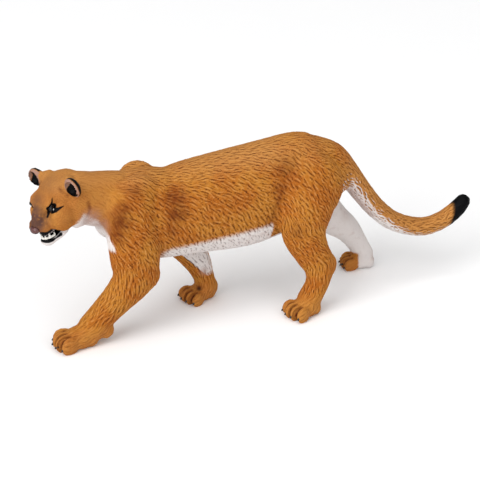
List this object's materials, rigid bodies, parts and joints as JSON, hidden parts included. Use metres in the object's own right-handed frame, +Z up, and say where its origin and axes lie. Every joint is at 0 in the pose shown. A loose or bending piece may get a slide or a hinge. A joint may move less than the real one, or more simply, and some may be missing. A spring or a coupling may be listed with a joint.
{
  "type": "toy cougar figurine",
  "caption": "Small moulded and painted vinyl cougar in a walking pose, head turned to its left, long tail curving up behind.",
  "frame": {"origin": "on the floor, below the middle of the figure's bounding box", "axes": "+X towards the tail's tip, so that the animal faces -X; +Y towards its right side; +Z up"},
  "size_m": [0.1542, 0.038, 0.0589],
  "materials": {
    "tawny_vinyl": "matt tawny paint over sculpted fur, with a dark wash in the grooves",
    "pale_paint": "matt off-white paint",
    "eye_paint": "glossy black paint",
    "nose_paint": "satin dark pink paint",
    "tooth_paint": "satin white paint",
    "tongue_paint": "satin pale cream paint",
    "dark_tip": "matt black paint"
  },
  "bodies": {
    "root": {"torso": "tawny_vinyl", "neck": "tawny_vinyl", "head": "tawny_vinyl", "lower_jaw": "pale_paint", "ear_left": "tawny_vinyl", "ear_right": "tawny_vinyl", "eye_left": "eye_paint", "eye_right": "eye_paint", "nose": "nose_paint", "teeth_lower": "tooth_paint", "tongue": "tongue_paint", "foreleg_left_upper": "tawny_vinyl", "foreleg_left_lower": "tawny_vinyl", "foreleg_left_paw": "tawny_vinyl", "foreleg_right_upper": "tawny_vinyl", "foreleg_right_lower": "tawny_vinyl", "foreleg_right_paw": "tawny_vinyl", "hindleg_left_upper": "tawny_vinyl", "hindleg_left_lower": "tawny_vinyl", "hindleg_left_paw": "tawny_vinyl", "hindleg_right_upper": "tawny_vinyl", "hindleg_right_lower": "tawny_vinyl", "hindleg_right_paw": "tawny_vinyl", "tail_root": "tawny_vinyl", "tail_upper": "tawny_vinyl", "tail_lower": "tawny_vinyl", "tail_tip": "dark_tip"}
  },
  "joints": []
}
